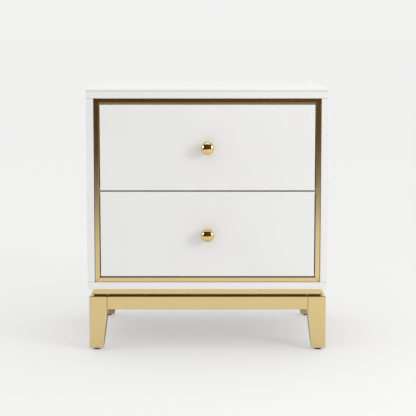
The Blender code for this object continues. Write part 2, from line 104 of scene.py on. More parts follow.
# Slides
SHEET = 1.2 * MM
SHEET_BEND = 1.7 * MM
BALL_DIAMETER = 3.9 * MM
BALL_PITCH = 14 * MM
CAGE_THICKNESS = 0.6 * MM
CAGE_EDGE = 0.15 * MM
CAGE_WIDTH = 5.6 * MM
CAGE_START = 12 * MM
CAGE_END = 6 * MM
CAGE_SHARE = 0.52
MEMBER_CURLS = {"cabinet": 4.6 * MM, "middle": 3.0 * MM, "drawer": 2.4 * MM}
SLOT_WIDTH = 4.6 * MM
SLOT_LENGTH = 11 * MM
SLOT_PITCH = 64 * MM
SLOT_START = 22 * MM
SLOT_ENDS = 40 * MM
PUNCH_LENGTH = 4 * MM
BEND_STEPS = 4

# Screws
PANEL_SCREW_HEAD = 7 * MM
PANEL_SCREW_PITCH = 95 * MM
PANEL_SCREW_INSET = 9 * MM
SLIDE_SCREW_HEAD = 5.55 * MM
THREAD_PITCH = 0.7 * MM
THREAD_DEPTH = 0.35 * MM
THREAD_START = 0.5 * MM
THREAD_LEAD = 0.4 * MM
KNOB_SCREW_RADIUS = 2.0 * MM
KNOB_SCREW_HEAD_DEPTH = 2.4 * MM
KNOB_SCREW_CROWN = 1.0 * MM
RECESS_REACH = 2.4 * MM
RECESS_HALF = 0.5 * MM
RECESS_DEPTH = 1.3 * MM
RECESS_EDGE = 0.1 * MM
WING_OVERRUN = 2 * MM

# Knobs: the ball's diameter, the radii of stem, neck, cove and rosette, and heights above the drawer front.
# Steps along the ball's outline, and the gap before its neck, are in degrees
KNOB_SEGMENTS = 96
KNOB_STEP = 3
KNOB_BLEND = 4
KNOB_BALL = 28.5 * MM
KNOB_HEIGHT = 20.5 * MM
KNOB_STEM = 5.2 * MM
KNOB_NECK = 5.45 * MM
KNOB_NECK_HEIGHT = 7.1 * MM
KNOB_STEM_TOP = 6.2 * MM
KNOB_STEM_FOOT = 3.6 * MM
KNOB_COVE = 1.6 * MM
ROSETTE = 8.5 * MM
ROSETTE_TOP = 1.8 * MM
ROSETTE_EDGE = 0.5 * MM

# Viewpoint: in front of the drawers, looking down by the pitch in degrees
VIEW_DISTANCE = 2.823
VIEW_HEIGHT = 0.685
VIEW_SIDE = 0.0012
VIEW_PITCH = 6.83
VIEW_SHIFT = -0.045
VIEW_PITCH_AT_KNOBS = 5
LENS = 116.8

# Studio: the paper floor, the pale room, and what only the metal reflects
FLOOR_RADIUS = 60
FLOOR_GLOW = 0.371
FLOOR_DIFFUSE = 0.43
WORLD_LEVEL = 0.878
ZENITH_GAIN = 0.42
PAPER = (1.0, 1.0, 0.995, 1)
CARD_COLOUR = (1.0, 0.985, 0.96, 1)
CARD_DISTANCE = 2.4
# Glowing cards that show only in the metal: painted highlights
# Azimuth, elevation, width, height and strength of each card
CARDS = {
    "right_reflected_card": (88, 20, 1.2, 1.1, 5.5),
    "left_reflected_card": (-84, 22, 0.8, 0.9, 5.0),
    "top_reflected_card": (180, 70, 2.4, 1.8, 2.3),
}
LAMP_COLOUR = (1.0, 0.99, 0.98)
KEY_LAMP = {"azimuth": 48, "elevation": 17, "distance": 2.6, "size": 0.8, "power": 18.5}
AIM = Vector((0, 0, 0.35))
UNDER_BASE_SIZE = (0.5, 0.39)
UNDER_BASE_BACK = 15 * MM
UNDER_BASE_LIFT = 3 * MM
PALE_PATCH_SIDE = 0.65
PALE_PATCH_NEAR = 1.75
PALE_PATCH_FAR = 4.15
ROOM_FLOOR = (0.9, 2, 3, 4, 5)
ROOM_REACH = 5.0
ROOM_LIFT = 4 * MM
ROOM_COLUMNS = 24
ROOM_ROWS = 12


# -------- nodes and colours


def linear(code):
    """A colour written as sRGB hex, as linear RGBA."""
    channels = [int(code[i : i + 2], 16) / 255 for i in (1, 3, 5)]
    return [c / 12.92 if c <= 0.04045 else ((c + 0.055) / 1.055) ** 2.4 for c in channels] + [1.0]


def add(tree, kind, settings=None, **inputs):
    """Adds a node. Settings are its own properties; inputs are values, or outputs to link, by socket name.

    A name's underscores stand for spaces, and i0, i1 and so on name a socket by its number. A node given
    as a value stands for its first output.
    """
    node = tree.nodes.new(kind)
    for key, value in (settings or {}).items():
        setattr(node, key, value)
    for key, value in inputs.items():
        socket = node.inputs[int(key[1:]) if key[1:].isdigit() else key.replace("_", " ")]
        if isinstance(value, bpy.types.Node):
            value = value.outputs[0]
        if isinstance(value, bpy.types.NodeSocket):
            tree.links.new(value, socket)
        else:
            socket.default_value = value
    return node


def new_material(name, metallic=0.0):
    """A named material with its node tree, shader and the object's own coordinates."""
    material = bpy.data.materials.new(name)
    material.use_nodes = True
    tree = material.node_tree
    shader = tree.nodes["Principled BSDF"]
    shader.inputs["Metallic"].default_value = metallic
    return material, tree, shader, add(tree, "ShaderNodeTexCoord").outputs["Object"]


def wire(tree, shader, colour, gloss, relief=None):
    """Links a material's colour, roughness and, if it has one, bump."""
    tree.links.new(colour, shader.inputs["Base Color"])
    tree.links.new(gloss.outputs[0], shader.inputs["Roughness"])
    if relief:
        tree.links.new(relief.outputs[0], shader.inputs["Normal"])


RANGE = {"clamp": True}
COLOURS = {"data_type": "RGBA"}
ADD = {"operation": "ADD"}
MULTIPLY = {"operation": "MULTIPLY"}
LENGTH = {"operation": "LENGTH"}
# The part of 0 to 1 that a noise texture mostly fills
SPREAD = {"From_Min": 0.3, "From_Max": 0.7}


# -------- materials


def white_lacquer():
    """Two-part polyurethane, sprayed satin on fibreboard: an even, soft white with a faint orange peel."""
    material, tree, shader, place = new_material("sprayed_white_polyurethane_satin")
    peel = add(tree, "ShaderNodeTexNoise", Vector=place, Scale=420, Detail=2)
    cloud = add(tree, "ShaderNodeTexNoise", Vector=place, Scale=9, Detail=2)
    shade = add(tree, "ShaderNodeMapRange", RANGE, Value=cloud, **SPREAD)
    low, high = linear("#DADAD9"), linear("#DCDCDB")
    colour = add(tree, "ShaderNodeMix", COLOURS, i0=shade, i6=low, i7=high).outputs[2]
    gloss = add(tree, "ShaderNodeMapRange", RANGE, Value=cloud, **SPREAD, To_Min=0.40, To_Max=0.47)
    skin = add(tree, "ShaderNodeBump", Height=peel, Distance=0.02 * MM, Strength=0.6)
    wire(tree, shader, colour, gloss, skin)
    return material


def satin_gold(name, along):
    """Gold-toned metal, brushed lengthwise and sealed: nearly a mirror, softened by fine streaks."""
    material, tree, shader, place = new_material(name, metallic=1.0)
    # Brushing lines are 0.4 mm apart and run unbroken for about 60 mm
    lines = Vector((2500, 2500, 2500))
    lines["xyz".index(along)] = 16
    stretched = add(tree, "ShaderNodeMapping", Vector=place, Scale=lines)
    streaks = add(tree, "ShaderNodeTexNoise", Vector=stretched, Scale=1, Detail=3, Roughness=0.6)
    cloud = add(tree, "ShaderNodeTexNoise", Vector=place, Scale=14, Detail=2)
    tone = add(tree, "ShaderNodeMapRange", RANGE, Value=streaks, From_Min=0.25, From_Max=0.75)
    deep, bright = linear("#DCC48B"), linear("#E4CD97")
    colour = add(tree, "ShaderNodeMix", COLOURS, i0=tone, i6=deep, i7=bright).outputs[2]
    both = add(tree, "ShaderNodeMath", ADD, i0=streaks, i1=cloud)
    levels = {"From_Min": 0.6, "From_Max": 1.4, "To_Min": 0.12, "To_Max": 0.17}
    gloss = add(tree, "ShaderNodeMapRange", RANGE, Value=both, **levels)
    grooves = add(tree, "ShaderNodeBump", Height=streaks, Distance=0.004 * MM, Strength=0.3)
    wire(tree, shader, colour, gloss, grooves)
    return material


def polished_brass():
    """Solid brass, turned, polished and lacquered: a warm mirror with the last trace of turning marks."""
    material, tree, shader, place = new_material("turned_and_polished_brass", metallic=1.0)
    cloud = add(tree, "ShaderNodeTexNoise", Vector=place, Scale=90, Detail=3)
    shade = add(tree, "ShaderNodeMapRange", RANGE, Value=cloud, **SPREAD)
    deep, bright = linear("#E2C68A"), linear("#E8CE96")
    colour = add(tree, "ShaderNodeMix", COLOURS, i0=shade, i6=deep, i7=bright).outputs[2]
    gloss = add(tree, "ShaderNodeMapRange", RANGE, Value=cloud, **SPREAD, To_Min=0.05, To_Max=0.09)
    # Turning marks run round the knob, so they vary along Y only
    turning = add(tree, "ShaderNodeMapping", Vector=place, Scale=(60, 4000, 60))
    marks = add(tree, "ShaderNodeTexNoise", Vector=turning, Scale=1, Detail=1)
    rings = add(tree, "ShaderNodeBump", Height=marks, Distance=0.002 * MM, Strength=0.3)
    wire(tree, shader, colour, gloss, rings)
    return material


def birch_plywood(name, along, through):
    """Birch plywood, sanded and clear-coated: pale straight grain, and striped plies on its edges."""
    material, tree, shader, place = new_material(name)
    pale, warm, edge = linear("#E6CFA6"), linear("#CFAE7C"), linear("#A97E4C")
    # Growth bands are about 6 mm apart, and pores 0.7 mm wide and 11 mm long
    bands = Vector((170, 170, 170))
    bands["xyz".index(along)] = 7
    pores = Vector((1400, 1400, 1400))
    pores["xyz".index(along)] = 90
    banded = add(tree, "ShaderNodeMapping", Vector=place, Scale=bands)
    grain = add(tree, "ShaderNodeTexNoise", Vector=banded, Scale=1, Detail=5, Distortion=0.5)
    pored = add(tree, "ShaderNodeMapping", Vector=place, Scale=pores)
    flecks = add(tree, "ShaderNodeTexNoise", Vector=pored, Scale=1, Detail=2)
    figure = add(tree, "ShaderNodeMapRange", RANGE, Value=grain, From_Min=0.35, From_Max=0.68)
    face = add(tree, "ShaderNodeMix", COLOURS, i0=figure, i6=pale, i7=warm).outputs[2]
    levels = {"From_Min": 0.62, "From_Max": 0.8, "To_Max": 0.4}
    dark = add(tree, "ShaderNodeMapRange", RANGE, Value=flecks, **levels)
    face = add(tree, "ShaderNodeMix", COLOURS, i0=dark, i6=face, i7=edge).outputs[2]
    across = add(tree, "ShaderNodeSeparateXYZ", i0=place).outputs["xyz".index(through)]
    turn = add(tree, "ShaderNodeMath", MULTIPLY, i0=across, i1=math.pi / PLY)
    wave = add(tree, "ShaderNodeMath", {"operation": "SINE"}, i0=turn)
    ply = add(tree, "ShaderNodeMapRange", RANGE, Value=wave, From_Min=-0.25, From_Max=0.25)
    plies = add(tree, "ShaderNodeMix", COLOURS, i0=ply, i6=edge, i7=pale).outputs[2]
    normal = add(tree, "ShaderNodeNewGeometry").outputs["True Normal"]
    to_object = {"vector_type": "NORMAL", "convert_from": "WORLD", "convert_to": "OBJECT"}
    facing = add(tree, "ShaderNodeVectorTransform", to_object, i0=normal)
    toward = add(tree, "ShaderNodeSeparateXYZ", i0=facing).outputs["xyz".index(through)]
    size = add(tree, "ShaderNodeMath", {"operation": "ABSOLUTE"}, i0=toward)
    on_face = add(tree, "ShaderNodeMapRange", RANGE, Value=size, From_Min=0.4, From_Max=0.6)
    colour = add(tree, "ShaderNodeMix", COLOURS, i0=on_face, i6=plies, i7=face).outputs[2]
    gloss = add(tree, "ShaderNodeMapRange", RANGE, Value=grain, **SPREAD, To_Min=0.42, To_Max=0.56)
    relief = add(tree, "ShaderNodeBump", Height=flecks, Distance=0.03 * MM, Strength=0.5)
    wire(tree, shader, colour, gloss, relief)
    return material


def raw_fibreboard():
    """Medium-density fibreboard as it leaves the saw: brown felted fibres with paler specks, quite matt."""
    material, tree, shader, place = new_material("sawn_fibreboard")
    fibres = add(tree, "ShaderNodeTexNoise", Vector=place, Scale=900, Detail=4, Roughness=0.7)
    shade = add(tree, "ShaderNodeMapRange", RANGE, Value=fibres, **SPREAD)
    fibre, speck = linear("#8F7350"), linear("#C4A77E")
    colour = add(tree, "ShaderNodeMix", COLOURS, i0=shade, i6=fibre, i7=speck).outputs[2]
    gloss = add(tree, "ShaderNodeMapRange", RANGE, Value=fibres, **SPREAD, To_Min=0.75, To_Max=0.9)
    nap = add(tree, "ShaderNodeBump", Height=fibres, Distance=0.08 * MM, Strength=0.7)
    wire(tree, shader, colour, gloss, nap)
    return material


def zinc_plate():
    """Cold-rolled steel with bright zinc plating: cool grey, faint rolling lines and a cloudy bloom."""
    material, tree, shader, place = new_material("rolled_steel_bright_zinc_plated", metallic=1.0)
    bloom = add(tree, "ShaderNodeTexNoise", Vector=place, Scale=60, Detail=4)
    rolled = add(tree, "ShaderNodeMapping", Vector=place, Scale=(2200, 12, 2200))
    lines = add(tree, "ShaderNodeTexNoise", Vector=rolled, Scale=1, Detail=2)
    shade = add(tree, "ShaderNodeMapRange", RANGE, Value=bloom, **SPREAD)
    dull, bright = linear("#B9BCC0"), linear("#D2D4D6")
    colour = add(tree, "ShaderNodeMix", COLOURS, i0=shade, i6=dull, i7=bright).outputs[2]
    both = add(tree, "ShaderNodeMath", ADD, i0=bloom, i1=lines)
    levels = {"From_Min": 0.7, "From_Max": 1.3, "To_Min": 0.24, "To_Max": 0.4}
    gloss = add(tree, "ShaderNodeMapRange", RANGE, Value=both, **levels)
    rolling = add(tree, "ShaderNodeBump", Height=lines, Distance=0.01 * MM, Strength=0.4)
    wire(tree, shader, colour, gloss, rolling)
    return material


def bearing_steel():
    """Ground chrome steel balls with a film of grease: bright, with an uneven shine."""
    material, tree, shader, place = new_material("ground_chrome_steel", metallic=1.0)
    film = add(tree, "ShaderNodeTexNoise", Vector=place, Scale=500, Detail=2)
    shade = add(tree, "ShaderNodeMapRange", RANGE, Value=film, **SPREAD)
    dull, bright = linear("#C2C5C9"), linear("#DCDDDF")
    colour = add(tree, "ShaderNodeMix", COLOURS, i0=shade, i6=dull, i7=bright).outputs[2]
    gloss = add(tree, "ShaderNodeMapRange", RANGE, Value=film, **SPREAD, To_Min=0.08, To_Max=0.2)
    wire(tree, shader, colour, gloss)
    return material


def brown_nylon():
    """Injection-moulded nylon with a spark-eroded texture: deep brown with a dull sheen."""
    material, tree, shader, place = new_material("moulded_brown_nylon")
    texture = add(tree, "ShaderNodeTexNoise", Vector=place, Scale=2400, Detail=2)
    cloud = add(tree, "ShaderNodeTexNoise", Vector=place, Scale=120, Detail=2)
    dark, light = linear("#4C3517"), linear("#5E4422")
    colour = add(tree, "ShaderNodeMix", COLOURS, i0=cloud, i6=dark, i7=light).outputs[2]
    gloss = add(tree, "ShaderNodeMapRange", RANGE, Value=texture, **SPREAD, To_Min=0.38, To_Max=0.5)
    grain = add(tree, "ShaderNodeBump", Height=texture, Distance=0.02 * MM, Strength=0.5)
    wire(tree, shader, colour, gloss, grain)
    return material


# -------- shapes


def block(low, high, radius, segments=3):
    """A board or bar between two corners, with its edges rounded."""
    low, high = Vector(low), Vector(high)
    shape = bmesh.new()
    bmesh.ops.create_cube(shape, size=1, matrix=Matrix.Diagonal(high - low).to_4x4())
    bmesh.ops.translate(shape, verts=shape.verts, vec=(low + high) / 2)
    return ease(shape, radius, segments)


def ease(shape, radius, segments=3, chosen=None):
    """Rounds the chosen edges of a solid, or every sharp one."""
    edges = [edge for edge in shape.edges if edge.calc_face_angle(0) > FOLD]
    if chosen:
        edges = [edge for edge in edges if chosen(edge)]
    bmesh.ops.bevel(shape, geom=edges, offset=radius, segments=segments, profile=0.5, affect="EDGES")
    return shape


def loft(*rings):
    """A closed solid through outlines that have the same number of points."""
    shape = bmesh.new()
    verts = [[shape.verts.new(point) for point in ring] for ring in rings]
    count = len(verts[0])
    for first, last in zip(verts, verts[1:]):
        for i in range(count):
            j = (i + 1) % count
            shape.faces.new((first[i], first[j], last[j], last[i]))
    shape.faces.new(verts[0])
    shape.faces.new(verts[-1])
    bmesh.ops.recalc_face_normals(shape, faces=shape.faces)
    return shape


def turned(profile, segments, centre, forward=False):
    """A turned solid from (radius, height) points, standing up, or lying with its top towards -Y."""
    shape = bmesh.new()
    rings = []
    for radius, height in profile:
        ring = []
        for i in range(segments if radius > 0 else 1):
            angle = 2 * math.pi * i / segments
            ring.append(shape.verts.new((radius * math.cos(angle), radius * math.sin(angle), height)))
        rings.append(ring)
    for first, last in zip(rings, rings[1:]):
        for i in range(segments):
            j = (i + 1) % segments
            corners = [ring[k % len(ring)] for ring, k in ((first, i), (first, j), (last, j), (last, i))]
            shape.faces.new(list(dict.fromkeys(corners)))
    bmesh.ops.recalc_face_normals(shape, faces=shape.faces)
    if forward:
        bmesh.ops.rotate(shape, verts=shape.verts, matrix=Matrix.Rotation(math.radians(90), 3, "X"))
    bmesh.ops.translate(shape, verts=shape.verts, vec=centre)
    return shape


def arc(centre, radius, start, end, steps):
    """Points of an arc between two angles in degrees."""
    angles = [math.radians(start + (end - start) * i / steps) for i in range(steps + 1)]
    return [(centre[0] + radius * math.cos(a), centre[1] + radius * math.sin(a)) for a in angles]


def new_object(name, data):
    """An object in the scene."""
    obj = bpy.data.objects.new(name, data)
    bpy.context.scene.collection.objects.link(obj)
    return obj


def mesh_of(name, shape):
    """The finished mesh of a shape, with its curved faces smooth and its corners sharp."""
    mesh = bpy.data.meshes.new(name)
    shape.to_mesh(mesh)
    shape.free()
    mesh.shade_smooth()
    mesh.set_sharp_from_angle(angle=CREASE)
    return mesh


def combine(mesh, others, operation):
    """The mesh with the others cut out of it or joined to it."""
    work = new_object(mesh.name, mesh)
    tools = []
    for other in others:
        tool = new_object(other.name, other)
        step = work.modifiers.new("step", "BOOLEAN")
        step.operation = operation
        step.object = tool
        tools.append(tool)
    result = bpy.data.meshes.new_from_object(work.evaluated_get(bpy.context.evaluated_depsgraph_get()))
    for obj in (work, *tools):
        bpy.data.objects.remove(obj)
    result.shade_smooth()
    result.set_sharp_from_angle(angle=CREASE)
    return result


# -------- pieces


BODY_OF = {node: body for body, nodes in frame["record"]["behaviour"]["bodies"].items() for node in nodes}


def add_piece(name, mesh, material, body, nodes=()):
    """A finished piece, which rides on its body and stands for its CAD nodes."""
    obj = new_object(name, mesh)
    mesh.materials.clear()
    mesh.materials.append(material)
    flats = obj.modifiers.new("even_shading", "WEIGHTED_NORMAL")
    flats.keep_sharp = True
    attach(obj, body)
    if nodes:
        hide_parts(*nodes)
    return obj


def finish_node(node, shape, material):
    """The finished piece that stands for one CAD node."""
    mesh = shape if isinstance(shape, bpy.types.Mesh) else mesh_of(node, shape)
    return add_piece(f"{node}_finished", mesh, material, BODY_OF[node], [node])


# -------- what repeats, by geometry nodes


def new_group(name, sockets):
    """An empty geometry node group with its named inputs, its input sockets and its output node."""
    tree = bpy.data.node_groups.new(name, "GeometryNodeTree")
    tree.interface.new_socket("Geometry", in_out="INPUT", socket_type="NodeSocketGeometry")
    for label, kind in sockets.items():
        tree.interface.new_socket(label, in_out="INPUT", socket_type=f"NodeSocket{kind}")
    tree.interface.new_socket("Geometry", in_out="OUTPUT", socket_type="NodeSocketGeometry")
    return tree, add(tree, "NodeGroupInput").outputs, add(tree, "NodeGroupOutput")


def close_group(tree, given, output, geometry):
    """Makes the instances real, gives them their material and ends the group."""
    real = add(tree, "GeometryNodeRealizeInstances", i0=geometry)
    coated = add(tree, "GeometryNodeSetMaterial", i0=real, Material=given["Material"]).outputs[0]
    tree.links.new(coated, output.inputs[0])
    return tree


def screw_rows():
    """The same screw at every point of the mesh."""
    sockets = {"Screw": "Object", "Size": "Float", "Material": "Material"}
    tree, given, output = new_group("screw_rows", sockets)
    screw = add(tree, "GeometryNodeObjectInfo", Object=given["Screw"], As_Instance=True).outputs["Geometry"]
    points = given["Geometry"]
    rows = add(tree, "GeometryNodeInstanceOnPoints", Points=points, Instance=screw, Scale=given["Size"])
    return close_group(tree, given, output, rows)


def ball_rows():
    """A row of bearing balls from every point of the mesh towards the back."""
    sockets = {"Ball Diameter": "Float", "Pitch": "Float", "Count": "Int", "Material": "Material"}
    tree, given, output = new_group("ball_rows", sockets)
    radius = add(tree, "ShaderNodeMath", MULTIPLY, i0=given["Ball Diameter"], i1=0.5)
    ball = add(tree, "GeometryNodeMeshIcoSphere", Radius=radius, Subdivisions=2)
    smooth = add(tree, "GeometryNodeSetShadeSmooth", i0=ball)
    step = add(tree, "ShaderNodeCombineXYZ", Y=given["Pitch"])
    spacing = {"Count": given["Count"], "Offset": step}
    line = add(tree, "GeometryNodeMeshLine", {"mode": "OFFSET"}, **spacing)
    row = add(tree, "GeometryNodeInstanceOnPoints", Points=line, Instance=smooth)
    rows = add(tree, "GeometryNodeInstanceOnPoints", Points=given["Geometry"], Instance=row)
    return close_group(tree, given, output, rows)


def slotted_web():
    """Rounded slots along Y, punched through the web of a slide member."""
    sockets = {
        "Start": "Vector",
        "Slot Length": "Float",
        "Slot Width": "Float",
        "Pitch": "Float",
        "Count": "Int",
        "Material": "Material",
    }
    tree, given, output = new_group("slotted_web", sockets)
    radius = add(tree, "ShaderNodeMath", MULTIPLY, i0=given["Slot Width"], i1=0.5)
    punch = add(tree, "GeometryNodeMeshCylinder", Vertices=24, Radius=radius, Depth=PUNCH_LENGTH)
    share = {"operation": "DIVIDE"}
    ratio = add(tree, "ShaderNodeMath", share, i0=given["Slot Length"], i1=given["Slot Width"])
    size = add(tree, "ShaderNodeCombineXYZ", X=1.0, Y=ratio, Z=1.0)
    long = add(tree, "GeometryNodeTransform", i0=punch, Scale=size)
    across = add(tree, "GeometryNodeTransform", i0=long, Rotation=(0, math.pi / 2, 0))
    step = add(tree, "ShaderNodeCombineXYZ", Y=given["Pitch"])
    line = {"Count": given["Count"], "Start_Location": given["Start"], "Offset": step}
    places = add(tree, "GeometryNodeMeshLine", {"mode": "OFFSET"}, **line)
    slots = add(tree, "GeometryNodeInstanceOnPoints", Points=places, Instance=across)
    cut = {"operation": "DIFFERENCE", "solver": "EXACT"}
    web = add(tree, "GeometryNodeMeshBoolean", cut, Mesh_1=given["Geometry"], Mesh_2=slots)
    return close_group(tree, given, output, web)


def grown(mesh, tree, values):
    """The plain mesh that a geometry node group makes from a mesh."""
    work = new_object(mesh.name, mesh)
    step = work.modifiers.new(tree.name, "NODES")
    step.node_group = tree
    for item in tree.interface.items_tree:
        if item.in_out == "INPUT" and item.name in values:
            step[item.identifier] = values[item.name]
    result = bpy.data.meshes.new_from_object(work.evaluated_get(bpy.context.evaluated_depsgraph_get()))
    bpy.data.objects.remove(work)
    result.set_sharp_from_angle(angle=CREASE)
    return result


def points_mesh(name, points):
    mesh = bpy.data.meshes.new(name)
    mesh.from_pydata([tuple(point) for point in points], [], [])
    return mesh


def screw_head(name, turn):
    """A pan head of unit diameter with a cross recess, its crown along +Z, then turned."""
    rise = 0.32
    crown = [(0, rise), (0.16, rise * 0.98), (0.3, rise * 0.86), (0.42, rise * 0.6)]
    profile = crown + [(0.49, 0.08), (0.5, 0), (0, 0)]
    head = mesh_of(name, turned(profile, 24, (0, 0, 0)))
    wings = []
    for reach in ((0.25, 0.045), (0.045, 0.25)):
        low = (-reach[0], -reach[1], rise * 0.45)
        wings.append(mesh_of("recess", block(low, (reach[0], reach[1], 1), 0.01, 1)))
    mesh = combine(head, wings, "DIFFERENCE")
    mesh.transform(turn)
    obj = new_object(name, mesh)
    obj.hide_render = True
    return obj


# -------- case


def build_case(lacquer, board):
    for node in ("carcass_top", "bottom_panel", "side_panel_left", "side_panel_right", "back_panel"):
        finish_node(node, block(*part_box(node), BOARD_EDGE), lacquer)
    finish_node("top_slab", block(*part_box("top_slab"), SLAB_EDGE, 4), lacquer)
    boards = ["divider_rail"] + [f"{drawer}_packer_{side}" for drawer in DRAWERS for _, side in SIDES]
    for node in boards:
        finish_node(node, block(*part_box(node), SAWN_EDGE, 2), board)


def trim_outline(lip):
    """The trim's section in (distance in, distance back) points. The lip, if any, reaches farther in."""
    low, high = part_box("trim_left")
    depth = high.y - low.y
    outer, inner = TRIM_OUTER_EDGE, TRIM_INNER_EDGE
    points = [(0, depth)] + arc((outer, outer), outer, 180, 270, 4)
    points += arc((TRIM_FACE - inner, inner), inner, 270, 360, 8)
    if lip:
        curve = arc((lip - LIP_EDGE, LIP_FRONT + LIP_EDGE), LIP_EDGE, 270, 360, 3)
        points += [(TRIM_FACE, LIP_FRONT), *curve, (lip, LIP_BACK), (TRIM_FACE, LIP_BACK)]
    return points + [(TRIM_FACE, depth)]


def build_trim(gold):
    """Four mitred bars round the opening. The top and bottom bars have a lip behind the drawer fronts."""
    left_low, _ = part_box("trim_left")
    top_low, top_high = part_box("trim_top")
    half = top_high.x
    low_z, high_z = left_low.z, top_high.z
    face = left_low.y
    lip = high_z - top_low.z
    for side_x, side in SIDES:
        ends = []
        for edge_z, inward in ((low_z, 1), (high_z, -1)):
            ring = []
            for u, depth in trim_outline(None):
                ring.append((side_x * (half - u), face + depth, edge_z + inward * (u + TRIM_MITRE_GAP)))
            ends.append(ring)
        finish_node(f"trim_{side}", loft(*ends), gold["z"])
    for node, edge_z, inward in (("trim_bottom", low_z, 1), ("trim_top", high_z, -1)):
        ends = []
        for side_x in (-1, 1):
            ring = []
            for u, depth in trim_outline(lip):
                cut = min(u, TRIM_FACE) + TRIM_MITRE_GAP
                ring.append((side_x * (half - cut), face + depth, edge_z + inward * u))
            ends.append(ring)
        finish_node(node, loft(*ends), gold["x"])
    strip = block(*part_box("divider_strip"), TRIM_OUTER_EDGE)
    finish_node("divider_strip", strip, gold["x"])


def build_back_screws(zinc):
    """Pan-head screws that hold the back panel, along its four edges."""
    low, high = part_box("back_panel")
    across = (low.x + PANEL_SCREW_INSET, high.x - PANEL_SCREW_INSET)
    up = (low.z + PANEL_SCREW_INSET, high.z - PANEL_SCREW_INSET)
    points = []
    for span, fixed, along in ((across, up, "x"), (up, across, "z")):
        count = round((span[1] - span[0]) / PANEL_SCREW_PITCH)
        for step in range(count + 1) if along == "x" else range(1, count):
            place = span[0] + (span[1] - span[0]) * step / count
            for other in fixed:
                points.append((place, high.y, other) if along == "x" else (other, high.y, place))
    screw = screw_head("panel_screw", Matrix.Rotation(math.radians(-90), 4, "X"))
    values = {"Screw": screw, "Size": PANEL_SCREW_HEAD, "Material": zinc}
    mesh = grown(points_mesh("back_panel_screws", points), screw_rows(), values)
    bpy.data.objects.remove(screw)
    add_piece("back_panel_screws", mesh, zinc, BODY_OF["back_panel"])


# -------- base


def build_base(gold, nylon):
    for side_x, side in SIDES:
        for end_y, end in ((-1, "front"), (1, "rear")):
            node = f"leg_{end}_{side}"
            low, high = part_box(node)
            corner_x = high.x if side_x > 0 else low.x
            corner_y = high.y if end_y > 0 else low.y
            full = high.x - low.x
            curve = arc((FOOT_EDGE, FOOT_EDGE), FOOT_EDGE, 270, 180, 4)
            sections = [(low.z + z, LEG_FOOT, inset) for inset, z in curve]
            sections += [(LEG_TAPER_Z, full, 0), (high.z, full, 0)]
            rings = []
            for z, width, inset in sections:
                near_x, near_y = corner_x - side_x * inset, corner_y - end_y * inset
                far_x, far_y = corner_x - side_x * (width - inset), corner_y - end_y * (width - inset)
                ring = [(near_x, near_y), (far_x, near_y), (far_x, far_y), (near_x, far_y)]
                rings.append([(x, y, z) for x, y in ring])
            leg = ease(loft(*rings), BASE_EDGE, 4, lambda edge: abs(edge.calc_face_angle(0)) > CREASE)
            finish_node(node, leg, gold["z"])
            build_glide(f"glide_{end}_{side}", nylon)
    for node, run in (("front", "x"), ("rear", "x"), ("left", "y"), ("right", "y")):
        low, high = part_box(f"base_rail_{node}")
        finish_node(f"base_rail_{node}", block(low, high, BASE_EDGE, 4), gold[run])
        low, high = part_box(f"plinth_{node}")
        bar = block(low, high, PLINTH_EDGE, 3)
        finish_node(f"plinth_{node}", bar, gold[run])


def build_glide(node, nylon):
    """A round glide: a pad with a rounded rim, and the stem that is pushed into the leg."""
    low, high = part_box(node)
    pad = (high.x - low.x) / 2
    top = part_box(node.replace("glide", "leg"))[0].z - CAD_GAP
    profile = [(0, high.z), (GLIDE_TIP, high.z), (GLIDE_STEM, high.z - GLIDE_TIP_HEIGHT), (GLIDE_STEM, top)]
    profile += arc((pad - GLIDE_SHOULDER, top - GLIDE_SHOULDER), GLIDE_SHOULDER, 90, 0, 3)
    profile += arc((pad - GLIDE_RIM, GLIDE_RIM), GLIDE_RIM, 0, -90, 4) + [(0, 0)]
    centre = ((low.x + high.x) / 2, (low.y + high.y) / 2, low.z)
    finish_node(node, turned(profile, 48, centre), nylon)


# -------- drawers


def dovetails(side_x, end, facing, side_box, grow):
    """The four pins of one corner, or, grown by a glue line, the cutters of the sockets that they fill."""
    (low, high), (side_low, side_high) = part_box(end), side_box
    near, far = (low.y, high.y) if facing > 0 else (high.y, low.y)
    start = near - facing * CUTTER_OVERRUN if grow else near
    stop = far + facing * grow
    inside = side_low.x - PIN_ROOT
    outside = side_high.x + PIN_ROOT if grow else side_high.x - PIN_SINK
    narrow = PIN_HALF_HEIGHT + grow
    wide = narrow + PIN_FLARE
    pins = []
    for step in range(PIN_COUNT):
        z = low.z + (high.z - low.z) / PIN_COUNT * (step + 0.5)
        outline = [(start, z - narrow), (stop, z - wide), (stop, z + wide), (start, z + narrow)]
        rings = [[(side_x * x, y, z) for y, z in outline] for x in (inside, outside)]
        pins.append(mesh_of("pin", loft(*rings)))
    return pins


def build_drawer_box(drawer, birch):
    """A plywood box whose corners are dovetailed: pins on its front and back, tails on its sides."""
    side_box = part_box(f"{drawer}_box_side_right")
    ends = ((f"{drawer}_box_front", 1), (f"{drawer}_box_back", -1))
    for side_x, side in SIDES:
        node = f"{drawer}_box_side_{side}"
        board = mesh_of(node, block(*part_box(node), WOOD_EDGE))
        sockets = []
        for end, facing in ends:
            sockets += dovetails(side_x, end, facing, side_box, GLUE_LINE)
        finish_node(node, combine(board, sockets, "DIFFERENCE"), birch["side"])
    for end, facing in ends:
        board = mesh_of(end, block(*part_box(end), GLUE_LINE, 1))
        pins = [pin for side_x, _ in SIDES for pin in dovetails(side_x, end, facing, side_box, 0)]
        finish_node(end, combine(board, pins, "UNION"), birch["end"])
    bottom = block(*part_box(f"{drawer}_box_bottom"), SAWN_EDGE, 2)
    finish_node(f"{drawer}_box_bottom", bottom, birch["bottom"])


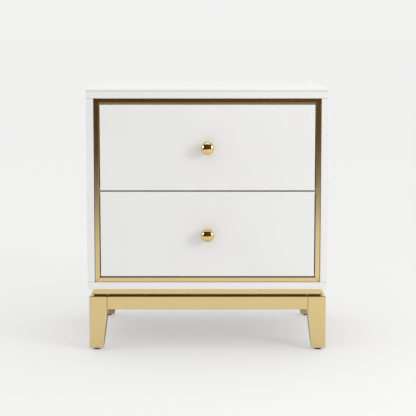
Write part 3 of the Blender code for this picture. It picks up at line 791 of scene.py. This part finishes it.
def knob_profile():
    """Ball, coved stem and rosette, from the top of the ball to the back of the rosette."""
    ball = KNOB_BALL / 2
    end = round(180 - KNOB_BLEND - math.degrees(math.asin(KNOB_STEM / ball)))
    points = [(0, KNOB_HEIGHT + ball)]
    for degrees in range(KNOB_STEP, end, KNOB_STEP):
        angle = math.radians(degrees)
        points.append((ball * math.sin(angle), KNOB_HEIGHT + ball * math.cos(angle)))
    points += [(KNOB_NECK, KNOB_NECK_HEIGHT), (KNOB_STEM, KNOB_STEM_TOP), (KNOB_STEM, KNOB_STEM_FOOT)]
    points += arc((KNOB_STEM + KNOB_COVE, ROSETTE_TOP + KNOB_COVE), KNOB_COVE, 180, 270, 5)
    points += arc((ROSETTE - ROSETTE_EDGE, ROSETTE_TOP - ROSETTE_EDGE), ROSETTE_EDGE, 70, 0, 4)
    return points + [(ROSETTE, CAD_GAP), (0, CAD_GAP)]


def build_knob(drawer, brass, zinc):
    low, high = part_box(f"{drawer}_knob")
    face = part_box(f"{drawer}_drawer_front")[0].y
    centre = ((low.x + high.x) / 2, face, (low.z + high.z) / 2)
    knob = turned(knob_profile(), KNOB_SEGMENTS, centre, forward=True)
    finish_node(f"{drawer}_knob", knob, brass)
    screw_low, screw_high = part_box(f"{drawer}_knob_screw")
    head, thick, shank = (screw_high.x - screw_low.x) / 2, KNOB_SCREW_HEAD_DEPTH, KNOB_SCREW_RADIUS
    seat = screw_high.y - thick
    length = seat - screw_low.y
    profile = [(0, length), (shank - THREAD_LEAD, length)]
    for turn in range(int(length / THREAD_PITCH) - 1):
        z = length - THREAD_START - turn * THREAD_PITCH
        profile += [(shank, z), (shank - THREAD_DEPTH, z - THREAD_DEPTH)]
    profile += [(shank, 0), (head, 0)]
    crown = KNOB_SCREW_CROWN
    profile += arc((head - crown, crown - thick), crown, 0, -90, 4) + [(0, -thick)]
    screw = mesh_of("screw", turned(profile, 32, (centre[0], seat, centre[2]), forward=True))
    wings = []
    for reach_x, reach_z in ((RECESS_REACH, RECESS_HALF), (RECESS_HALF, RECESS_REACH)):
        wing_low = (centre[0] - reach_x, screw_high.y - RECESS_DEPTH, centre[2] - reach_z)
        wing_high = (centre[0] + reach_x, screw_high.y + WING_OVERRUN, centre[2] + reach_z)
        wings.append(mesh_of("recess", block(wing_low, wing_high, RECESS_EDGE, 1)))
    finish_node(f"{drawer}_knob_screw", combine(screw, wings, "DIFFERENCE"), zinc)


# -------- slides


def strip_outline(corners):
    """The closed section of a steel sheet that follows the corners, bent round each inner one."""
    line = [(corners[0], None)]
    for before, here, after in zip(corners, corners[1:], corners[2:]):
        back = (Vector(before) - Vector(here)).normalized()
        on = (Vector(after) - Vector(here)).normalized()
        centre = Vector(here) + (back + on) * SHEET_BEND
        for step in range(BEND_STEPS + 1):
            angle = math.pi / 2 * step / BEND_STEPS
            point = centre - (on * math.cos(angle) + back * math.sin(angle)) * SHEET_BEND
            line.append((tuple(point), (point - centre).normalized() * (-1 if back.cross(on) < 0 else 1)))
    line.append((corners[-1], None))
    first = Vector(corners[1]) - Vector(corners[0])
    last = Vector(corners[-1]) - Vector(corners[-2])
    sides = [[], []]
    for index, (point, normal) in enumerate(line):
        if normal is None:
            run = (first if index == 0 else last).normalized()
            normal = Vector((-run.y, run.x))
        for side, reach in zip(sides, (SHEET / 2, -SHEET / 2)):
            side.append(tuple(Vector(point) + normal * reach))
    return sides[0] + sides[1][::-1]


def build_slide_member(node, zinc, slots, curl):
    """One rolled channel: a web, two flanges that the balls run in, and their curled edges."""
    low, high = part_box(node)
    side_x = 1 if low.x > 0 else -1
    web_outside = "drawer" not in node
    near, far = sorted((abs(low.x), abs(high.x)))
    web, opening = (far, near) if web_outside else (near, far)
    inward = 1 if opening > web else -1
    middle, half = (low.z + high.z) / 2, (high.z - low.z) / 2 - SHEET / 2
    web_line, open_line = web + inward * SHEET / 2, opening - inward * SHEET / 2
    corners = [(open_line, -half + curl), (open_line, -half), (web_line, -half), (web_line, half)]
    corners += [(open_line, half), (open_line, half - curl)]
    outline = strip_outline(corners)
    rings = [[(side_x * x, y, middle + z) for x, z in outline] for y in (low.y, high.y)]
    mesh = mesh_of(node, loft(*rings))
    count = int((high.y - low.y - SLOT_ENDS) / SLOT_PITCH) + 1
    start = (side_x * web_line, low.y + SLOT_START, middle)
    values = {"Start": start, "Slot Length": SLOT_LENGTH, "Slot Width": SLOT_WIDTH}
    values.update({"Pitch": SLOT_PITCH, "Count": count, "Material": zinc})
    finish_node(node, grown(mesh, slots, values), zinc)
    return side_x, start, count, web_line, inward


def build_slides(drawer, zinc, steel, tools):
    """Three members, four ball rows and their cages on each side of a drawer.

    The outer rows stay with the case and the inner ones with the middle member.
    """
    for side_x, side in SIDES:
        names = {part: f"{drawer}_{part}_member_{side}" for part in ("cabinet", "middle", "drawer")}
        for part, curl in MEMBER_CURLS.items():
            place = build_slide_member(names[part], zinc, tools["slots"], curl)
            if part != "middle":
                build_slide_screws(names[part], *place, zinc, tools["screws"])
        for label, around, within in (("outer", "cabinet", "middle"), ("inner", "middle", "drawer")):
            pair = names[around], names[within]
            build_ball_rows(f"{drawer}_{label}", side_x, side, *pair, zinc, steel, tools["balls"])


def build_ball_rows(name, side_x, side, around, within, zinc, steel, tree):
    """Two rows of balls between two members, over the front half of their length, and their cages."""
    body = BODY_OF[around]
    (low, high), (low_in, high_in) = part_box(around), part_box(within)
    middle = (low.z + high.z) / 2
    rise = (high.z - SHEET + high_in.z) / 2 - middle
    near = max(min(abs(low.x), abs(high.x)), min(abs(low_in.x), abs(high_in.x)))
    far = min(max(abs(low.x), abs(high.x)), max(abs(low_in.x), abs(high_in.x)))
    x = side_x * (near + far) / 2
    rows = [middle + rise, middle - rise]
    start = low.y + CAGE_START
    count = int((high.y - low.y) * CAGE_SHARE / BALL_PITCH)
    points = points_mesh("balls", [(x, start, z) for z in rows])
    values = {"Ball Diameter": BALL_DIAMETER, "Pitch": BALL_PITCH, "Count": count, "Material": steel}
    balls = grown(points, tree, values)
    add_piece(f"{name}_balls_{side}", balls, steel, body)
    cages = bmesh.new()
    for z in rows:
        front = (x - CAGE_WIDTH / 2, start - CAGE_END, z - CAGE_THICKNESS / 2)
        end = start + (count - 1) * BALL_PITCH + CAGE_END
        back = (x + CAGE_WIDTH / 2, end, z + CAGE_THICKNESS / 2)
        strip = mesh_of("strip", block(front, back, CAGE_EDGE, 1))
        cages.from_mesh(strip)
    add_piece(f"{name}_ball_cages_{side}", mesh_of("cages", cages), zinc, body)


def build_slide_screws(node, side_x, start, count, web_line, inward, zinc, tree):
    """The screws in a member's first, middle and last slots."""
    inner_face = side_x * (web_line + inward * SHEET / 2)
    turn = Matrix.Rotation(math.radians(90) * side_x * inward, 4, "Y")
    screw = screw_head("slide_screw", turn)
    picked = sorted({0, count // 2, count - 1})
    places = [(inner_face, start[1] + SLOT_PITCH * i, start[2]) for i in picked]
    points = points_mesh("slide_screws", places)
    values = {"Screw": screw, "Size": SLIDE_SCREW_HEAD, "Material": zinc}
    mesh = grown(points, tree, values)
    bpy.data.objects.remove(screw)
    add_piece(f"{node}_screws", mesh, zinc, BODY_OF[node])


# -------- studio


def studio_material(name, nodes):
    """A plain studio surface, made by the given function from its tree and the object's coordinates."""
    material = bpy.data.materials.new(name)
    material.use_nodes = True
    tree = material.node_tree
    tree.nodes.clear()
    surface = nodes(tree, add(tree, "ShaderNodeTexCoord").outputs["Object"])
    add(tree, "ShaderNodeOutputMaterial", Surface=surface)
    return material


def floor_nodes(tree, place):
    """Matt white paper, lit partly from below so that shadows on it stay pale."""
    grain = add(tree, "ShaderNodeTexNoise", Vector=place, Scale=3, Detail=2)
    tone = add(tree, "ShaderNodeMapRange", RANGE, Value=grain, To_Min=0.995, To_Max=1.005)
    glow = add(tree, "ShaderNodeEmission", Color=PAPER, Strength=FLOOR_GLOW)
    white = (FLOOR_DIFFUSE, FLOOR_DIFFUSE, FLOOR_DIFFUSE, 1)
    paper = add(tree, "ShaderNodeMix", COLOURS, i0=tone, i6=(0, 0, 0, 1), i7=white).outputs[2]
    matt = add(tree, "ShaderNodeBsdfDiffuse", Color=paper)
    return add(tree, "ShaderNodeAddShader", i0=glow, i1=matt)


def dark_room_nodes(tree, place):
    """A painted reflection: white near the nightstand, falling away to a warm dark room, and lighter to the
    right.
    """
    shift = {"i0": place, "i1": (1, 1, 0), "i2": (-PALE_PATCH_SIDE, 0, 0)}
    flat = add(tree, "ShaderNodeVectorMath", {"operation": "MULTIPLY_ADD"}, **shift)
    reach = add(tree, "ShaderNodeVectorMath", LENGTH, i0=flat).outputs["Value"]
    patch = {"From_Min": PALE_PATCH_NEAR, "From_Max": PALE_PATCH_FAR, "To_Min": 1, "To_Max": 0}
    fall = add(tree, "ShaderNodeMapRange", RANGE, Value=reach, **patch)
    lit = add(tree, "ShaderNodeMath", {"operation": "POWER"}, i0=fall, i1=1.4)
    side, _, height = add(tree, "ShaderNodeSeparateXYZ", i0=place).outputs
    wall = {"From_Min": 0.02, "From_Max": 0.3, "To_Min": 1, "To_Max": 0}
    down = add(tree, "ShaderNodeMapRange", RANGE, Value=height, **wall)
    pale = add(tree, "ShaderNodeMath", {"operation": "MINIMUM"}, i0=lit, i1=down)
    # Painted light: the reflected floor and room are lighter to the right, where the key lamp stands
    right = add(tree, "ShaderNodeMapRange", RANGE, Value=side, From_Min=-0.4, From_Max=0.4)
    room = {"i6": (0.072, 0.041, 0.013, 1), "i7": (0.105, 0.063, 0.028, 1)}
    shade = add(tree, "ShaderNodeMix", COLOURS, i0=right, **room).outputs[2]
    paper = {"i6": (0.90, 0.89, 0.87, 1), "i7": (1.0, 1.0, 1.02, 1)}
    near = add(tree, "ShaderNodeMix", COLOURS, i0=right, **paper).outputs[2]
    colour = add(tree, "ShaderNodeMix", COLOURS, i0=pale, i6=shade, i7=near).outputs[2]
    return add(tree, "ShaderNodeEmission", Color=colour)


def bright_nodes(strength):
    def nodes(tree, place):
        return add(tree, "ShaderNodeEmission", Color=CARD_COLOUR, Strength=strength)

    return nodes


def stage_mesh(name, shape, material, reflected_only):
    mesh = mesh_of(name, shape)
    mesh.materials.append(material)
    obj = new_object(name, mesh)
    if reflected_only:
        for rays in ("camera", "diffuse", "shadow", "transmission", "volume_scatter"):
            setattr(obj, f"visible_{rays}", False)
    return obj


def direction(azimuth, elevation):
    """The unit vector towards a place in the room. Azimuth 0 is straight in front, 90 to the right."""
    a, e = math.radians(azimuth), math.radians(elevation)
    return Vector((math.sin(a) * math.cos(e), -math.cos(a) * math.cos(e), math.sin(e)))


def build_floor():
    shape = bmesh.new()
    bmesh.ops.create_circle(shape, cap_ends=True, segments=64, radius=FLOOR_RADIUS)
    stage_mesh("floor", shape, studio_material("matt_paper_floor", floor_nodes), False)


def under_base_nodes(tree, place):
    """Painted shade of the floor under the case, shown only in the metal: darker towards the middle."""
    oval = {"Location": (0.09, 0, 0), "Scale": (1 / 0.34, 1 / 0.3, 0)}
    middle = add(tree, "ShaderNodeMapping", Vector=place, **oval)
    reach = add(tree, "ShaderNodeVectorMath", LENGTH, i0=middle).outputs["Value"]
    edge = add(tree, "ShaderNodeMapRange", RANGE, Value=reach, From_Min=0.45, From_Max=1.3)
    shade = {"i6": (0.05, 0.042, 0.03, 1), "i7": (0.80, 0.79, 0.775, 1)}
    colour = add(tree, "ShaderNodeMix", COLOURS, i0=edge, **shade).outputs[2]
    return add(tree, "ShaderNodeEmission", Color=colour)


def build_reflected_sheet(name, place, width, height, nodes):
    """A flat rectangle that shows only in the metal."""
    shape = bmesh.new()
    bmesh.ops.create_grid(shape, x_segments=1, y_segments=1, size=0.5)
    place = place @ Matrix.Diagonal((width, height, 1, 1))
    bmesh.ops.transform(shape, matrix=place, verts=shape.verts)
    stage_mesh(name, shape, studio_material(name, nodes), True)


def build_reflected_card(name, azimuth, elevation, width, height, strength):
    """A glowing card that faces the nightstand from a place in the room, shown only in the metal as a
    painted highlight.
    """
    towards = direction(azimuth, elevation)
    turn = (-towards).to_track_quat("Z", "Y").to_matrix().to_4x4()
    place = Matrix.Translation(towards * CARD_DISTANCE + AIM) @ turn
    build_reflected_sheet(name, place, width, height, bright_nodes(strength))


def ball_reflection(across, up):
    """The direction that a polished ball reflects towards the camera at a point of its outline's disc."""
    facing = math.sqrt(1 - across * across - up * up)
    seen = Vector((2 * facing * across, 1 - 2 * facing * facing, 2 * facing * up))
    return Matrix.Rotation(math.radians(-VIEW_PITCH_AT_KNOBS), 3, "X") @ seen


def build_dark_room():
    """A painted reflection of what lies in front of the nightstand, shown only in its metal: pale floor,
    then a dark room.

    The room's wall is spaced so that a knob shows it as an upright rectangle.
    """
    shape = bmesh.new()
    left, right, low, high = -0.66, 0.55, -0.045, 0.61
    columns = []
    for i in range(ROOM_COLUMNS + 1):
        across = left + (right - left) * i / ROOM_COLUMNS
        towards = ball_reflection(across, low)
        flat = Vector((towards.x, towards.y, 0)).normalized()
        column = []
        for distance in ROOM_FLOOR:
            column.append(shape.verts.new(flat * distance + Vector((0, 0, ROOM_LIFT))))
        for j in range(1, ROOM_ROWS + 1):
            towards = ball_reflection(across, low + (high - low) * j / ROOM_ROWS)
            column.append(shape.verts.new(towards * ROOM_REACH + AIM))
        columns.append(column)
    for first, last in zip(columns, columns[1:]):
        for i in range(len(first) - 1):
            shape.faces.new((first[i], last[i], last[i + 1], first[i + 1]))
    stage_mesh("dark_room", shape, studio_material("dark_room", dark_room_nodes), True)


def build_lamp(name, azimuth, elevation, distance, size, power):
    light = bpy.data.lights.new(name, "AREA")
    light.shape = "SQUARE"
    light.size = size
    light.energy = power
    light.color = LAMP_COLOUR
    lamp = new_object(name, light)
    towards = direction(azimuth, elevation)
    lamp.location = towards * distance + AIM
    lamp.rotation_mode = "QUATERNION"
    lamp.rotation_quaternion = towards.to_track_quat("Z", "Y")
    lamp.visible_glossy = False
    lamp.visible_camera = False


def build_studio():
    world = bpy.data.worlds.new("pale_room")
    world.use_nodes = True
    tree = world.node_tree
    towards = add(tree, "ShaderNodeTexCoord").outputs["Generated"]
    height = add(tree, "ShaderNodeSeparateXYZ", i0=towards).outputs[2]
    above = {"To_Min": WORLD_LEVEL, "To_Max": WORLD_LEVEL + ZENITH_GAIN}
    level = add(tree, "ShaderNodeMapRange", RANGE, Value=height, **above).outputs[0]
    background = tree.nodes["Background"]
    background.inputs["Color"].default_value = PAPER
    tree.links.new(level, background.inputs["Strength"])
    bpy.context.scene.world = world
    build_floor()
    build_dark_room()
    # A painted shadow under the case that only the metal reflects
    under_base = Matrix.Translation((0, UNDER_BASE_BACK, UNDER_BASE_LIFT))
    build_reflected_sheet("under_base_shade", under_base, *UNDER_BASE_SIZE, under_base_nodes)
    for name, card in CARDS.items():
        build_reflected_card(name, *card)
    build_lamp("key_lamp", **KEY_LAMP)
    bpy.context.scene.view_settings.view_transform = "Standard"


def build_camera():
    data = bpy.data.cameras.new("camera")
    data.lens = LENS
    data.shift_y = VIEW_SHIFT
    camera = new_object("camera", data)
    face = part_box("lower_drawer_front")[0].y
    camera.location = (VIEW_SIDE, face - VIEW_DISTANCE, VIEW_HEIGHT)
    camera.rotation_euler = (math.radians(90 - VIEW_PITCH), 0, 0)
    bpy.context.scene.camera = camera


# -------- everything


def build_nightstand():
    lacquer = white_lacquer()
    trim_gold = {axis: satin_gold(f"gold_anodised_aluminium_{axis}", axis) for axis in "xyz"}
    base_gold = {axis: satin_gold(f"gold_plated_steel_{axis}", axis) for axis in "xyz"}
    brass, zinc, steel = polished_brass(), zinc_plate(), bearing_steel()
    nylon, board = brown_nylon(), raw_fibreboard()
    birch = {
        "side": birch_plywood("birch_plywood_side", "y", "x"),
        "end": birch_plywood("birch_plywood_end", "x", "y"),
        "bottom": birch_plywood("birch_plywood_bottom", "x", "z"),
    }
    tools = {"slots": slotted_web(), "screws": screw_rows(), "balls": ball_rows()}
    build_case(lacquer, board)
    build_trim(trim_gold)
    build_back_screws(zinc)
    build_base(base_gold, nylon)
    for drawer in DRAWERS:
        front = block(*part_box(f"{drawer}_drawer_front"), FRONT_EDGE, 4)
        finish_node(f"{drawer}_drawer_front", front, lacquer)
        build_drawer_box(drawer, birch)
        build_knob(drawer, brass, zinc)
        build_slides(drawer, zinc, steel, tools)


build_camera()
build_nightstand()
build_studio()
